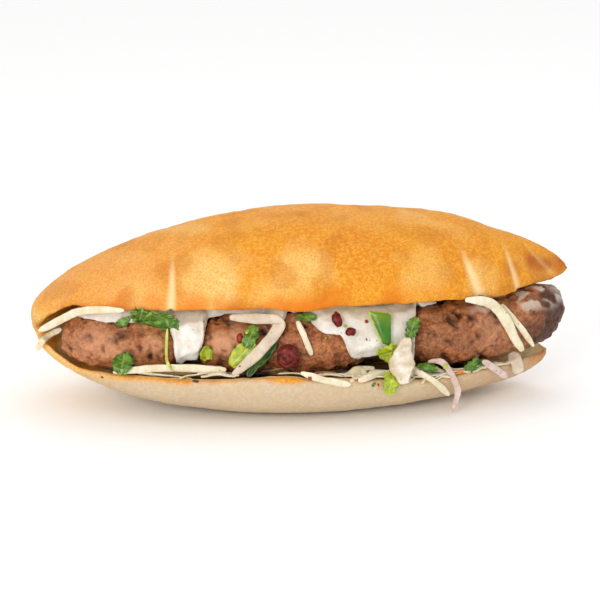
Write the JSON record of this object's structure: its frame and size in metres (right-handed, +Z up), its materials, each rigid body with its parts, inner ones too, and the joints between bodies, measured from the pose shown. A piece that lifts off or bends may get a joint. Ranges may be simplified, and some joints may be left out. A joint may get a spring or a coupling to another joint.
{
  "type": "kebab sandwich",
  "caption": "Kebab sandwich in an oval flat bread, slit along the front, with grilled minced-meat kebabs, yoghurt sauce, cabbage and herbs",
  "frame": {"origin": "Centre of the small flat spot under the bread, on which the sandwich rests", "axes": "+X along the bread, +Y from the open side to the folded back, +Z up"},
  "size_m": [0.2428, 0.1085, 0.0864],
  "materials": {
    "bread": "matte",
    "meat": "satin",
    "yoghurt": "gloss",
    "cabbage": "satin",
    "onion": "gloss",
    "herb": "satin",
    "leaf": "satin",
    "pepper": "gloss",
    "berry": "satin"
  },
  "bodies": {
    "root": {"bread": "bread", "kebab_left": "meat", "kebab_middle": "meat", "kebab_right": "meat", "yoghurt_sauce": "yoghurt", "yoghurt_drop": "yoghurt", "salad_bed": "cabbage", "cabbage_rim_left": "cabbage", "onion_left_tip": "onion", "cabbage_floor_left": "cabbage", "stalk": "leaf", "herb_left_outer": "herb", "herb_left_inner": "herb", "herb_sprig_left": "herb", "herb_low_left": "herb", "herb_dot_middle": "herb", "leaf_lime": "leaf", "herb_on_lime": "herb", "leaf_dark_middle": "herb", "cabbage_fold": "cabbage", "cabbage_middle": "cabbage", "herb_top_middle": "herb", "pepper_slice": "pepper", "herb_top_right": "herb", "leaf_lime_low": "leaf", "cabbage_rim_middle": "cabbage", "cabbage_rim_right": "cabbage", "leaf_low_right": "leaf", "cabbage_hanging": "cabbage", "herb_rim_right": "herb", "onion_hanging": "onion", "herb_low_right": "leaf", "onion_rim_right": "onion", "cabbage_right_low": "cabbage", "cabbage_right_back": "cabbage", "cabbage_right_long": "cabbage", "berry_large": "berry", "berry_small_high": "berry", "berry_small_low": "berry"}
  },
  "joints": []
}
